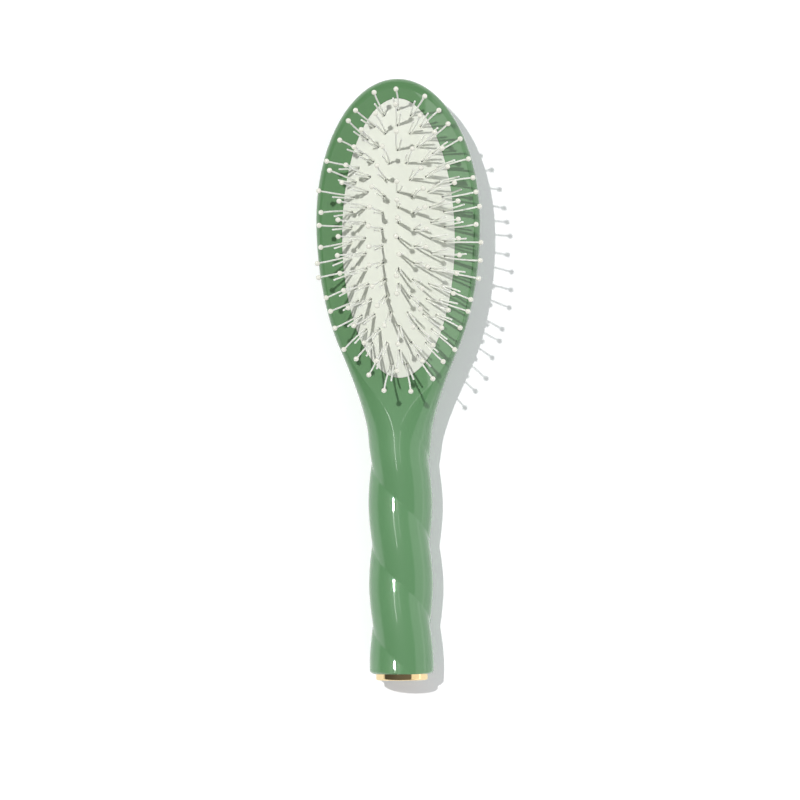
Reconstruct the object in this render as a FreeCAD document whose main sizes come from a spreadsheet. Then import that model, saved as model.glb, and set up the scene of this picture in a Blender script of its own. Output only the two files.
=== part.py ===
import FreeCAD, Part
import math
import os
import Sketcher
from FreeCAD import Placement, Rotation, Vector

# Detangling brush lying on its back: Y runs from the butt to the tip of the head, Z up through the pins.
# The origin lies on the table, midway along the brush.

# Driving sizes in millimetres; shares and exponents have no unit
SIZES = [
    # Body, along its length
    ("crown_length", 53.5, "widest point of the head to its tip"),
    ("taper_run", 47.0, "widest point of the head to the start of the neck"),
    ("taper_semi_axis", 68.5, "semi-axis of the ellipse that the taper follows"),
    ("neck_length", 44.0, "start of the neck to the grip"),
    ("grip_length", 78.1, "grip to the butt"),
    # Head, across and in height
    ("head_half_width", 30.7, "half the width of the head"),
    ("equator_height", 17.4, "height of the head's widest level above the table"),
    ("rim_height", 23.4, "height of the flat front rim above the table"),
    ("front_swell", 2.0, "height of the rounded blank above the rim before the front is planed flat"),
    ("front_fullness", 4.5, "exponent of the head's front edge"),
    ("back_fullness", 2.2, "exponent of the head's back"),
    # Neck and twisted grip
    ("form_start", 6.0, "end of the neck to where the head's form begins"),
    ("form_run", 44.0, "length over which the round neck takes the head's form"),
    ("strand_radius", 10.77, "radius of each of the two strands"),
    ("strand_offset", 1.29, "distance of a strand's centre from the grip's axis"),
    ("strand_run_in", 15.0, "length over which the strands part"),
    ("twist_pitch", 60.7, "length of one full turn of the strands"),
    ("twist_start", 24.2, "end of the neck to where the turn begins"),
    ("twist_run_in", 16.0, "length over which the turn reaches its full rate"),
    ("butt_round", 1.7, "rounding of the butt's edge"),
    # End cap
    ("cap_radius", 9.8, "radius of the end cap"),
    ("cap_proud", 2.35, "height of the end cap beyond the butt"),
    ("cap_edge", 0.7, "rounding of the end cap's rim"),
    ("spigot_radius", 4.0, "radius of the spigot that holds the end cap"),
    ("spigot_length", 12.0, "length of the spigot"),
    ("spigot_clearance", 0.05, "clearance round and beyond the spigot"),
    # Cushion and its seat
    ("cushion_from_tip", 59.6, "tip of the head to the cushion's centre"),
    ("cushion_half_width", 21.06, "half the width of the cushion's opening"),
    ("cushion_half_length", 52.3, "half the length of the cushion's opening"),
    ("cushion_crown", 4.2, "height of the cushion's crown above the rim"),
    ("dome_semi_axis", 14.0, "upright semi-axis of the ellipsoid that the crown is cut from"),
    ("cushion_wall", 1.8, "thickness of the cushion's rubber"),
    ("lip_width", 1.2, "reach of the cushion's lip under the rim"),
    ("lip_thickness", 1.6, "thickness of the cushion's lip"),
    ("lip_depth", 3.8, "underside of the lip below the rim"),
    ("cushion_clearance", 0.1, "clearance between the cushion and its seat"),
    ("chamber_depth", 8.5, "depth of the air chamber below the rim"),
    # Tufts, each one folded filament with a ball on its long leg
    ("filament_radius", 0.35, "radius of a filament"),
    ("long_leg", 21.5, "cushion to the middle of the ball"),
    ("short_leg", 12.4, "cushion to the end of the short leg"),
    ("leg_pitch", 0.84, "distance between a tuft's two legs where they pass the cushion"),
    ("leg_spread", 1.3, "how far the short leg leans away by its end"),
    ("fold_depth", 3.6, "outside of the cushion to the fold, along the legs"),
    ("hole_clearance", 0.25, "room round the two legs in their hole"),
    ("ball_radius", 1.0, "radius of a ball tip"),
    # One length that every cutting shape runs past what it cuts
    ("overrun", 2.0, "length by which a cutting shape runs past the work"),
]

# Rows of tufts: name, count, half-width and half-length as shares of the cushion's opening
ROW_SHARES = [
    ("centre_row", 7, 0.0, 0.329),
    ("inner_ring", 22, 0.290, 0.629),
    ("middle_ring", 32, 0.594, 0.805),
    ("outer_ring", 39, 0.836, 0.916),
]
# Sideways reach of a long leg, as shares of its distance from the cushion's middle across and along
LEAN_ACROSS_SHARE = 0.76
LEAN_ALONG_SHARE = 0.17
# Facets of a ball: height and radius of each ring as shares of the ball's radius
BALL_RING_SHARES = [(-0.85, 0.53), (-0.35, 0.94), (0.35, 0.94), (0.85, 0.53)]
FACETS = 6

# Sections along each stretch of the body and points round each half section
GRIP_SECTIONS = 15
NECK_SECTIONS = 20
TAPER_SECTIONS = 5
HALF_SECTION_POINTS = 11

doc = FreeCAD.newDocument("detangling_brush")
sheet = doc.addObject("Spreadsheet::Sheet", "sizes")
for row, (alias, value, note) in enumerate(SIZES, start=1):
    sheet.set(f"A{row}", note)
    sheet.set(f"B{row}", str(value))
    sheet.setAlias(f"B{row}", alias)
doc.recompute()


def size(alias):
    """Reads one driving size from the sheet."""
    return float(sheet.get(alias))


def smooth(share):
    """Eases from 0 to 1 with no slope at either end."""
    share = min(max(share, 0.0), 1.0)
    return share * share * (3 - 2 * share)


# Places along the brush, worked out from the lengths
body_length = size("crown_length") + size("taper_run") + size("neck_length") + size("grip_length")
TIP_Y = (body_length + size("cap_proud")) / 2
WIDEST_Y = TIP_Y - size("crown_length")
TAPER_END_Y = WIDEST_Y - size("taper_run")
NECK_END_Y = TAPER_END_Y - size("neck_length")
BUTT_Y = NECK_END_Y - size("grip_length")
CUSHION_Y = TIP_Y - size("cushion_from_tip")
AXIS_Z = size("strand_radius") + size("strand_offset")

# The same places as expressions, for the objects that follow them
BODY_LENGTH_EXPR = "(sizes.crown_length + sizes.taper_run + sizes.neck_length + sizes.grip_length)"
TIP_EXPR = f"({BODY_LENGTH_EXPR} + sizes.cap_proud) / 2"
BUTT_EXPR = f"({TIP_EXPR} - {BODY_LENGTH_EXPR})"
NECK_END_EXPR = f"({BUTT_EXPR} + sizes.grip_length)"
CUSHION_EXPR = f"({TIP_EXPR} - sizes.cushion_from_tip)"
AXIS_EXPR = "(sizes.strand_radius + sizes.strand_offset)"


def bind(item, **expressions):
    """Ties properties of an object to expressions on the sheet; a double underscore stands for a dot."""
    for name, expression in expressions.items():
        item.setExpression(name.replace("__", "."), expression)
    return item


def place(item, x="0", y="0", z="0"):
    """Ties an object's place to expressions on the sheet."""
    return bind(item, Placement__Base__x=x, Placement__Base__y=y, Placement__Base__z=z)


def boolean(kind, name, base, tool):
    """Adds a cut, fuse or common of two objects."""
    item = doc.addObject(f"Part::{kind}", name)
    item.Base = base
    item.Tool = tool
    return item


def half_width(y):
    """Half-width of the body without its strands: part of an ellipse, then a hollow curve into the neck."""
    widest = size("head_half_width")
    run = (WIDEST_Y - y) / size("taper_semi_axis")
    if y >= TAPER_END_Y:
        return widest * math.sqrt(1 - run ** 2)
    end_run = size("taper_run") / size("taper_semi_axis")
    end_width = widest * math.sqrt(1 - end_run ** 2)
    end_slope = widest * end_run / math.sqrt(1 - end_run ** 2) / size("taper_semi_axis")
    share = max((y - NECK_END_Y) / size("neck_length"), 0.0)
    rise = share * share * (3 - 2 * share)
    pull = (share ** 3 - share ** 2) * size("neck_length") * end_slope
    return size("strand_radius") * (1 - rise) + end_width * rise + pull


def twist(y):
    """Angle of the front groove about the grip's axis, from the front towards +X."""
    run = NECK_END_Y + size("twist_start") - y
    if run <= 0:
        return 0.0
    run_in = size("twist_run_in")
    turned = run * run / (2 * run_in) if run < run_in else run - run_in / 2
    return 2 * math.pi * turned / size("twist_pitch")


def section_point(y, angle):
    """Point of the body's surface at a place along it and an angle about its middle, from the front."""
    form = smooth((y - NECK_END_Y - size("form_start")) / size("form_run"))
    parted = size("strand_offset") * smooth((NECK_END_Y + size("strand_run_in") - y) / size("strand_run_in"))
    radius = size("strand_radius")
    width = half_width(y)
    middle = AXIS_Z + form * (size("equator_height") - AXIS_Z)
    front_top = size("rim_height") + size("front_swell") - size("equator_height")
    front = radius + form * (front_top - radius)
    back = radius + form * (size("equator_height") - radius)
    across, up = math.sin(angle), math.cos(angle)
    fullness = size("front_fullness") if up > 0 else size("back_fullness")
    power = 2 + form * (fullness - 2)
    reach = (abs(across) ** power + abs(up) ** power) ** (-1 / power)
    # Each strand is a circle whose centre stands off the axis, square to the grooves
    off_crest = abs(math.sin(angle - twist(y)))
    strand = parted * off_crest + math.sqrt(radius ** 2 - parted ** 2 * (1 - off_crest ** 2))
    reach *= strand / radius
    return Vector(width * reach * across, y, middle + (front if up > 0 else back) * reach * up)


def section_wire(y):
    """Closed section of the body: two half sections that meet at the front and back grooves."""
    halves = []
    shares = [step / (HALF_SECTION_POINTS - 1) for step in range(HALF_SECTION_POINTS)]
    for side in (0, 1):
        angles = [twist(y) + math.pi * (side + share) for share in shares]
        curve = Part.BSplineCurve()
        curve.interpolate(Points=[section_point(y, angle) for angle in angles], Parameters=shares)
        halves.append(curve.toShape())
    return Part.Wire(halves)


def stretch(start, end, count):
    """One stretch of the body, lofted through evenly spaced sections."""
    places = [start + (end - start) * step / count for step in range(count + 1)]
    return Part.makeLoft([section_wire(y) for y in places], True)


def crown():
    """Upper end of the head: its widest half section turned half round and drawn out to the tip."""
    half = section_wire(WIDEST_Y).Edges[0]
    chord = Part.makeLine(half.valueAt(half.LastParameter), half.valueAt(half.FirstParameter))
    turned = Part.Face(Part.Wire([half, chord])).revolve(Vector(0, WIDEST_Y, 0), Vector(0, 0, 1), 180)
    draw_out = FreeCAD.Matrix()
    draw_out.move(Vector(0, -WIDEST_Y, 0))
    draw_out.scale(1, size("crown_length") / size("head_half_width"), 1)
    draw_out.move(Vector(0, WIDEST_Y, 0))
    return turned.transformGeometry(draw_out)


def butt_rounding():
    """Ring that rounds the butt's edge when it is cut away."""
    outside, inside = AXIS_Z + size("overrun"), AXIS_Z - size("butt_round")
    shoulder = BUTT_Y + size("butt_round")
    bend = size("butt_round") * math.sqrt(0.5)
    corners = [
        Vector(inside, BUTT_Y, AXIS_Z),
        Vector(outside, BUTT_Y, AXIS_Z),
        Vector(outside, shoulder, AXIS_Z),
        Vector(AXIS_Z, shoulder, AXIS_Z),
    ]
    sides = [Part.makeLine(a, b) for a, b in zip(corners, corners[1:])]
    middle = Vector(inside + bend, shoulder - bend, AXIS_Z)
    sides.append(Part.Arc(corners[3], middle, corners[0]).toShape())
    return Part.Face(Part.Wire(sides)).revolve(Vector(0, 0, AXIS_Z), Vector(0, 1, 0), 360)


def oval_block(name, half_width_expr, half_length_expr, bottom_expr, height_expr):
    """Upright oval block centred on the cushion."""
    oval = doc.addObject("Part::Ellipse", f"{name}_oval")
    oval.Placement = Placement(Vector(), Rotation(Vector(0, 0, 1), 90))
    bind(oval, MajorRadius=half_length_expr, MinorRadius=half_width_expr)
    place(oval, y=CUSHION_EXPR, z=bottom_expr)
    block = doc.addObject("Part::Extrusion", name)
    block.Base = oval
    block.DirMode = "Custom"
    block.Dir = Vector(0, 0, 1)
    block.Solid = True
    return bind(block, LengthFwd=height_expr)


def cushion_dome(name, inset_expr):
    """Ellipsoid whose top is the cushion's crown, drawn in by an inset."""
    spread = "sqrt(1 - (1 - sizes.cushion_crown / sizes.dome_semi_axis)^2)"
    dome = doc.addObject("Part::Ellipsoid", name)
    dome.Angle1 = -90
    bind(
        dome,
        Radius1=f"sizes.dome_semi_axis - {inset_expr}",
        Radius2=f"sizes.cushion_half_width / {spread} - {inset_expr}",
        Radius3=f"sizes.cushion_half_length / {spread} - {inset_expr}",
    )
    return place(dome, y=CUSHION_EXPR, z="sizes.rim_height + sizes.cushion_crown - sizes.dome_semi_axis")


def cushion_top(across, along):
    """Point of the cushion's outer face at a distance across and along from its middle."""
    spread = math.sqrt(1 - (1 - size("cushion_crown") / size("dome_semi_axis")) ** 2)
    across_share = across * spread / size("cushion_half_width")
    along_share = along * spread / size("cushion_half_length")
    rise = size("dome_semi_axis") * math.sqrt(1 - across_share ** 2 - along_share ** 2)
    middle = size("rim_height") + size("cushion_crown") - size("dome_semi_axis")
    return Vector(across, CUSHION_Y + along, middle + rise)


def ringed_solid(rings):
    """Closed solid of flat faces through a row of rings with as many corners each."""
    faces = [Part.Face(Part.makePolygon(ring + ring[:1])) for ring in (rings[0], rings[-1])]
    for near, far in zip(rings, rings[1:]):
        for corner in range(FACETS):
            after = (corner + 1) % FACETS
            faces.append(Part.Face(Part.makePolygon(
                [near[corner], near[after], far[after], far[corner], near[corner]])))
    solid = Part.Solid(Part.Shell(faces))
    if solid.Volume < 0:
        solid.reverse()
    return solid


def ring_about(centre, first, second, radius):
    """Corners of a facetted ring in the plane of two square directions."""
    angles = [2 * math.pi * corner / FACETS for corner in range(FACETS)]
    return [centre + (first * math.cos(angle) + second * math.sin(angle)) * radius for angle in angles]


def folded_filament(path, normal, radius):
    """Facetted filament along a path of straight runs in one plane, mitred at each bend."""
    runs = [(after - before).normalize() for before, after in zip(path, path[1:])]
    rings = []
    for index, point in enumerate(path):
        before = runs[max(index - 1, 0)]
        after = runs[min(index, len(runs) - 1)]
        mitre = (normal.cross(before) + normal.cross(after)).normalize()
        mitre = mitre * (1 / mitre.dot(normal.cross(before)))
        rings.append(ring_about(point, normal, mitre, radius))
    return ringed_solid(rings)


def lean(across, along):
    """Sideways reach of a long leg from its foot to its ball."""
    return Vector(LEAN_ACROSS_SHARE * across, LEAN_ALONG_SHARE * along, 0)


class Tuft:
    """One folded filament, its ball and its hole, at a place on the cushion."""

    def __init__(self, across, along, side):
        """Works out the tuft's own directions from its place and the side that its short leg is on."""
        self.base = cushion_top(across, along)
        reach = lean(across, along)
        rise = math.sqrt(size("long_leg") ** 2 - reach.Length ** 2)
        self.axis = (reach + Vector(0, 0, rise)).normalize()
        self.side = side.normalize()
        self.normal = self.axis.cross(self.side)

    def filament(self):
        """Short leg, fold and long leg as one filament."""
        long_foot = self.base - self.side * (size("leg_pitch") / 2)
        short_foot = self.base + self.side * (size("leg_pitch") / 2)
        drop = self.axis * size("fold_depth")
        ball_seat = size("long_leg") + BALL_RING_SHARES[0][0] * size("ball_radius")
        path = [
            short_foot + self.axis * size("short_leg") + self.side * size("leg_spread"),
            short_foot,
            short_foot - drop,
            long_foot - drop,
            long_foot + self.axis * ball_seat,
        ]
        return folded_filament(path, self.normal, size("filament_radius"))

    def ball(self):
        """Ball on the end of the long leg."""
        middle = self.base - self.side * (size("leg_pitch") / 2) + self.axis * size("long_leg")
        radius = size("ball_radius")
        return ringed_solid([
            ring_about(middle + self.axis * (height * radius), self.normal, self.side, width * radius)
            for height, width in BALL_RING_SHARES
        ])

    def hole(self):
        """Way for the two legs through the cushion, from below the fold to clear of the crown."""
        radius = size("leg_pitch") / 2 + size("filament_radius") + size("hole_clearance")
        depth = size("fold_depth") + size("overrun")
        corners = ring_about(self.base - self.axis * depth, self.side, self.normal, radius)
        return Part.Face(Part.makePolygon(corners + corners[:1])).extrude(self.axis * (2 * depth))


def row_of_tufts(count, width_share, length_share):
    """Tufts along a line on the cushion's middle, or evenly round an oval."""
    across, along = width_share * size("cushion_half_width"), length_share * size("cushion_half_length")
    if not width_share:
        steps = [1 - 2 * step / (count - 1) for step in range(count)]
        return [Tuft(0, along * step, Vector(1, 0, 0)) for step in steps]
    oval = Part.Ellipse(Vector(0, along, 0), Vector(across, 0, 0), Vector()).toShape()
    places = oval.discretize(Number=count + 1)[:-1]
    return [Tuft(spot.x, spot.y, Vector(0, 0, 1).cross(lean(spot.x, spot.y))) for spot in places]


def group(name, solids):
    """Adds one object that holds a group of separate solids."""
    item = doc.addObject("Part::Feature", name)
    item.Shape = Part.makeCompound(solids)
    return item


# Brush body: four stretches in one, planed flat in front, hollowed for the cushion and bored for the cap
body_blank = doc.addObject("Part::Feature", "body_blank")
stretches = [
    stretch(BUTT_Y, NECK_END_Y, GRIP_SECTIONS),
    stretch(NECK_END_Y, TAPER_END_Y, NECK_SECTIONS),
    stretch(TAPER_END_Y, WIDEST_Y, TAPER_SECTIONS),
    crown(),
]
body_blank.Shape = stretches[0].multiFuse(stretches[1:])

plane_start_expr = f"({NECK_END_EXPR} + sizes.strand_run_in - sizes.overrun)"
front_plane = doc.addObject("Part::Box", "front_plane")
bind(
    front_plane,
    Length="2 * (sizes.head_half_width + sizes.overrun)",
    Width=f"{TIP_EXPR} + sizes.overrun - {plane_start_expr}",
    Height="sizes.front_swell + sizes.overrun",
)
place(front_plane, x="-(sizes.head_half_width + sizes.overrun)", y=plane_start_expr, z="sizes.rim_height")

chamber = oval_block(
    "air_chamber",
    "sizes.cushion_half_width",
    "sizes.cushion_half_length",
    "sizes.rim_height - sizes.chamber_depth",
    "sizes.chamber_depth + sizes.overrun",
)
lip_groove = oval_block(
    "lip_groove",
    "sizes.cushion_half_width + sizes.lip_width + sizes.cushion_clearance",
    "sizes.cushion_half_length + sizes.lip_width + sizes.cushion_clearance",
    "sizes.rim_height - sizes.lip_depth",
    "sizes.lip_thickness + sizes.cushion_clearance",
)

cap_bore = doc.addObject("Part::Cylinder", "cap_bore")
cap_bore.Placement = Placement(Vector(), Rotation(Vector(1, 0, 0), -90))
bind(
    cap_bore,
    Radius="sizes.spigot_radius + sizes.spigot_clearance",
    Height="sizes.spigot_length + sizes.spigot_clearance + sizes.overrun",
)
place(cap_bore, y=f"{BUTT_EXPR} - sizes.overrun", z=AXIS_EXPR)

butt_ring = doc.addObject("Part::Feature", "butt_ring")
butt_ring.Shape = butt_rounding()

body_cuts = doc.addObject("Part::MultiFuse", "body_cuts")
body_cuts.Shapes = [front_plane, chamber, lip_groove, cap_bore, butt_ring]
brush_body = boolean("Cut", "brush_body", body_blank, body_cuts)

# End cap: a turned disc with a spigot, whose own Z axis points out of the butt
end_cap = doc.addObject("PartDesign::Body", "end_cap")
end_cap.Placement = Placement(Vector(), Rotation(Vector(1, 0, 0), 90))
place(end_cap, y=BUTT_EXPR, z=AXIS_EXPR)
cap_profile = end_cap.newObject("Sketcher::SketchObject", "cap_profile")
cap_plane = next(item for item in end_cap.Origin.OriginFeatures if item.Role == "XZ_Plane")
cap_profile.AttachmentSupport = [(cap_plane, "")]
cap_profile.MapMode = "FlatFace"
cap_corners = [
    Vector(0, -size("spigot_length"), 0),
    Vector(size("spigot_radius"), -size("spigot_length"), 0),
    Vector(size("spigot_radius"), 0, 0),
    Vector(size("cap_radius"), 0, 0),
    Vector(size("cap_radius"), size("cap_proud"), 0),
    Vector(0, size("cap_proud"), 0),
]
for start, end in zip(cap_corners, cap_corners[1:] + cap_corners[:1]):
    cap_profile.addGeometry(Part.LineSegment(start, end), False)
LAST_LINE = len(cap_corners) - 1
for line in range(len(cap_corners)):
    following = 0 if line == LAST_LINE else line + 1
    cap_profile.addConstraint(Sketcher.Constraint("Coincident", line, 2, following, 1))
    cap_profile.addConstraint(Sketcher.Constraint("Vertical" if line % 2 else "Horizontal", line))
cap_profile.addConstraint(Sketcher.Constraint("PointOnObject", 0, 1, -2))
cap_profile.addConstraint(Sketcher.Constraint("PointOnObject", 2, 1, -1))
for line, kind, alias in (
    (0, "DistanceX", "spigot_radius"),
    (1, "DistanceY", "spigot_length"),
    (3, "DistanceY", "cap_proud"),
):
    dimension = cap_profile.addConstraint(Sketcher.Constraint(kind, line, 1, line, 2, size(alias)))
    cap_profile.setExpression(f"Constraints[{dimension}]", f"sizes.{alias}")
reach = cap_profile.addConstraint(Sketcher.Constraint("DistanceX", 4, 2, 4, 1, size("cap_radius")))
cap_profile.setExpression(f"Constraints[{reach}]", "sizes.cap_radius")
cap_turning = end_cap.newObject("PartDesign::Revolution", "cap_turning")
cap_turning.Profile = cap_profile
cap_turning.ReferenceAxis = (cap_profile, ["V_Axis"])
cap_turning.Angle = 360
doc.recompute()
cap_edges = cap_turning.Shape.Edges
outer_edges = [index for index, edge in enumerate(cap_edges) if edge.BoundBox.ZMin > size("cap_proud") / 2]
rim_index = max(outer_edges, key=lambda index: cap_edges[index].Length)
cap_rounding = end_cap.newObject("PartDesign::Fillet", "cap_rounding")
cap_rounding.Base = (cap_turning, [f"Edge{rim_index + 1}"])
bind(cap_rounding, Radius="sizes.cap_edge")

# Cushion: a domed rubber shell with a lip that tucks under the rim, holed for every tuft
rows = {name: row_of_tufts(count, width, length) for name, count, width, length in ROW_SHARES}
skirt_bottom_expr = "sizes.rim_height - sizes.lip_depth"
skirt_height_expr = "sizes.lip_depth + sizes.cushion_crown + sizes.overrun"
plug = oval_block(
    "cushion_plug",
    "sizes.cushion_half_width - sizes.cushion_clearance",
    "sizes.cushion_half_length - sizes.cushion_clearance",
    skirt_bottom_expr,
    skirt_height_expr,
)
hollow_plug = oval_block(
    "cushion_hollow_plug",
    "sizes.cushion_half_width - sizes.cushion_clearance - sizes.cushion_wall",
    "sizes.cushion_half_length - sizes.cushion_clearance - sizes.cushion_wall",
    f"{skirt_bottom_expr} - sizes.overrun",
    f"{skirt_height_expr} + sizes.overrun",
)
lip = oval_block(
    "cushion_lip",
    "sizes.cushion_half_width + sizes.lip_width",
    "sizes.cushion_half_length + sizes.lip_width",
    skirt_bottom_expr,
    "sizes.lip_thickness",
)
domed_plug = boolean("Common", "domed_plug", plug, cushion_dome("outer_dome", "0"))
lipped_plug = boolean("Fuse", "lipped_plug", domed_plug, lip)
hollow = boolean("Common", "cushion_hollow", hollow_plug, cushion_dome("inner_dome", "sizes.cushion_wall"))
cushion_shell = boolean("Cut", "cushion_shell", lipped_plug, hollow)
holes = group("tuft_holes", [tuft.hole() for tufts in rows.values() for tuft in tufts])
cushion = boolean("Cut", "cushion", cushion_shell, holes)

# Tufts: the filaments and the balls of each row
pieces = [brush_body, end_cap, cushion]
for name, tufts in rows.items():
    pieces.append(group(f"{name}_filaments", [tuft.filament() for tuft in tufts]))
    pieces.append(group(f"{name}_ball_tips", [tuft.ball() for tuft in tufts]))

doc.recompute()
failed = [item.Name for item in doc.Objects if {"Invalid", "Error"} & set(item.State)]
failed += [item.Label for item in pieces if item.Shape.isNull() or not item.Shape.isValid()]
if failed:
    raise RuntimeError(f"these objects failed: {failed}")

os.makedirs("parts", exist_ok=True)
for item in pieces:
    item.Shape.exportStep(f"parts/{item.Label}.step")
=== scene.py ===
import bisect
import itertools
import logging
import math
import random
from dataclasses import dataclass
from enum import Enum
from typing import Any, Mapping, Sequence, Union

import bmesh
import bpy
from mathutils import Matrix, Vector


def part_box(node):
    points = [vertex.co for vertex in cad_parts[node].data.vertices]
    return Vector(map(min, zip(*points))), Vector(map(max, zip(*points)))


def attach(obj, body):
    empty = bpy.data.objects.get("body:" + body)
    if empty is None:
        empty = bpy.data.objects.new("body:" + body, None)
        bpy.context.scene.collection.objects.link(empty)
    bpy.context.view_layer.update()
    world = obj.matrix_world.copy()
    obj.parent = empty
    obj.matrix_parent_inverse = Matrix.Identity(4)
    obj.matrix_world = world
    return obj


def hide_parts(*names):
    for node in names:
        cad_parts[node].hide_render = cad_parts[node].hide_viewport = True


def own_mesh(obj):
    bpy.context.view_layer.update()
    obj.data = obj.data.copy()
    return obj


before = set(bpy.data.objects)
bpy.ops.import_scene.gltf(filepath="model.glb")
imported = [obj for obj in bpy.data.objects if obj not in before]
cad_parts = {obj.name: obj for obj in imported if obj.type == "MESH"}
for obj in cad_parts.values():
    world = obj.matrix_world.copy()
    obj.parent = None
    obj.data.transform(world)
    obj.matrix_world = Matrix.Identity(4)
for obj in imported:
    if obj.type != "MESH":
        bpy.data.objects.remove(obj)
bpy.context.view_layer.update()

LOG = logging.getLogger("detangling_brush")

# Pieces are sized in millimetres and scaled to metres when they are finished
MM = 0.001
MERGE_DISTANCE = 0.0005
SHARP_ANGLE = math.radians(20)
ROUND_ANGLE = math.radians(80)
UP = Vector((0, 0, 1)).freeze()

# Height of the head's flat front above the table, which the cushion's edge sits level with
RIM_HEIGHT = 23.4

# The tone curve of a screen: a straight foot, then a power
SCREEN_WHITE = 255
FOOT_END = 0.04045
FOOT_SLOPE = 12.92
CURVE_OFFSET = 0.055
CURVE_POWER = 2.4

# Sockets of a Mix node that mixes colours
MIX_FIRST = 6
MIX_SECOND = 7
MIX_RESULT = 2

Colour = tuple[float, float, float, float]
WHITE: Colour = (1.0, 1.0, 1.0, 1.0)


class Body(Enum):
    """Bodies of the frame that the pieces ride on."""

    BRUSH = "body"
    CENTRE_ROW = "centre_row"
    INNER_RING = "inner_ring"
    MIDDLE_RING = "middle_ring"
    OUTER_RING = "outer_ring"


class Slot(Enum):
    """Material slots of the frame's record."""

    LACQUER = "lacquer"
    BRASS = "brass"
    RUBBER = "cushion_rubber"
    NYLON = "nylon"
    BALL = "ball_resin"


def linear(value: float) -> float:
    """Turns one channel of a colour as a screen shows it into linear light.

    Args:
        value: the screen's value, from 0 to 255.

    Returns:
        The linear value, from 0 to 1.
    """
    share = value / SCREEN_WHITE
    curved = ((share + CURVE_OFFSET) / (1 + CURVE_OFFSET)) ** CURVE_POWER
    return share / FOOT_SLOPE if share <= FOOT_END else curved


def srgb(red: float, green: float, blue: float) -> Colour:
    """Linear colour with full alpha, from a screen's values of 0 to 255."""
    return (linear(red), linear(green), linear(blue), 1.0)


def smooth(share: float) -> float:
    """Eases from 0 to 1 with no slope at either end."""
    share = min(max(share, 0.0), 1.0)
    return share * share * (3 - 2 * share)


def steps(start: float, end: float, count: int) -> list[float]:
    """Even values from start to end, both included, in count intervals."""
    return [start + (end - start) * index / count for index in range(count + 1)]


def show(item: bpy.types.Object) -> None:
    """Puts an object in the scene."""
    bpy.context.scene.collection.objects.link(item)


class Signal:
    """A shader socket that takes part in sums."""

    def __init__(self, sheet: "NodeSheet", socket: bpy.types.NodeSocket) -> None:
        """Keeps the socket and the sheet that new nodes go on."""
        self.sheet = sheet
        self.socket = socket

    def _sum(self, operation: str, first: "Value", second: "Value") -> "Signal":
        """Adds one Math node."""
        node = self.sheet.node("ShaderNodeMath", {"operation": operation}, {0: first, 1: second})
        return self.sheet.signal(node)

    def __add__(self, other: "Value") -> "Signal":
        """Sum with a value on the right."""
        return self._sum("ADD", self, other)

    def __radd__(self, other: "Value") -> "Signal":
        """Sum with a value on the left."""
        return self._sum("ADD", other, self)

    def __sub__(self, other: "Value") -> "Signal":
        """Difference from a value on the right."""
        return self._sum("SUBTRACT", self, other)

    def __rsub__(self, other: "Value") -> "Signal":
        """Difference from a value on the left."""
        return self._sum("SUBTRACT", other, self)

    def __mul__(self, other: "Value") -> "Signal":
        """Product with a value on the right."""
        return self._sum("MULTIPLY", self, other)

    def __rmul__(self, other: "Value") -> "Signal":
        """Product with a value on the left."""
        return self._sum("MULTIPLY", other, self)

    def __pow__(self, other: "Value") -> "Signal":
        """Power with the exponent on the right."""
        return self._sum("POWER", self, other)


Value = Union[Signal, float]


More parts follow.
